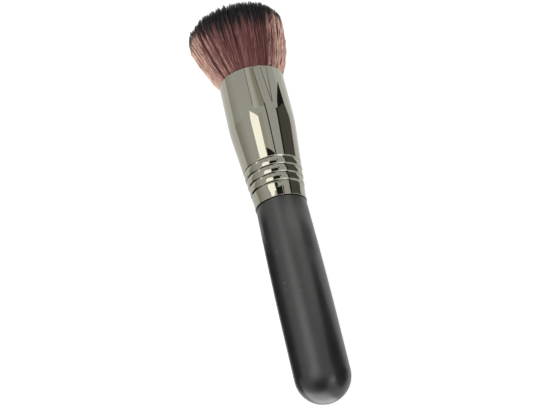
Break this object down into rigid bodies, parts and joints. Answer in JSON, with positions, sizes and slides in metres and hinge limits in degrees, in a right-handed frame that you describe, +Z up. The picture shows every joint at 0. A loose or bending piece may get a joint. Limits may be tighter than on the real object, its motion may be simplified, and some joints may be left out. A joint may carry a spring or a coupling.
{
  "type": "foundation brush",
  "caption": "Short, dense make-up brush with a domed two-tone tuft in a beaded metal ferrule and a swelling round-ended handle, lying on its side.",
  "frame": {"origin": "on the table, under the middle of the box that the lying brush fills", "axes": "+Z up from the table, +X along the brush on the table towards the handle's butt, +Y completing the set. The brush's own axis lies in a plane of constant Y and sinks towards the butt by 3.17 degrees, because the tuft is wider than the butt"},
  "size_m": [0.1646, 0.038, 0.0375],
  "materials": {
    "black_lacquer": "turned wood under matte black lacquer",
    "black_nickel": "polished black nickel plate over a drawn metal shell",
    "filament": "fine synthetic filament, red-brown with black tips",
    "epoxy": "cured clear amber adhesive",
    "band_metal": "plain rolled strip"
  },
  "bodies": {
    "root": {"handle": "black_lacquer", "tenon_glue": "epoxy", "ferrule": "black_nickel", "resin_plug": "epoxy", "root_band": "band_metal", "tuft": "filament"}
  },
  "joints": []
}
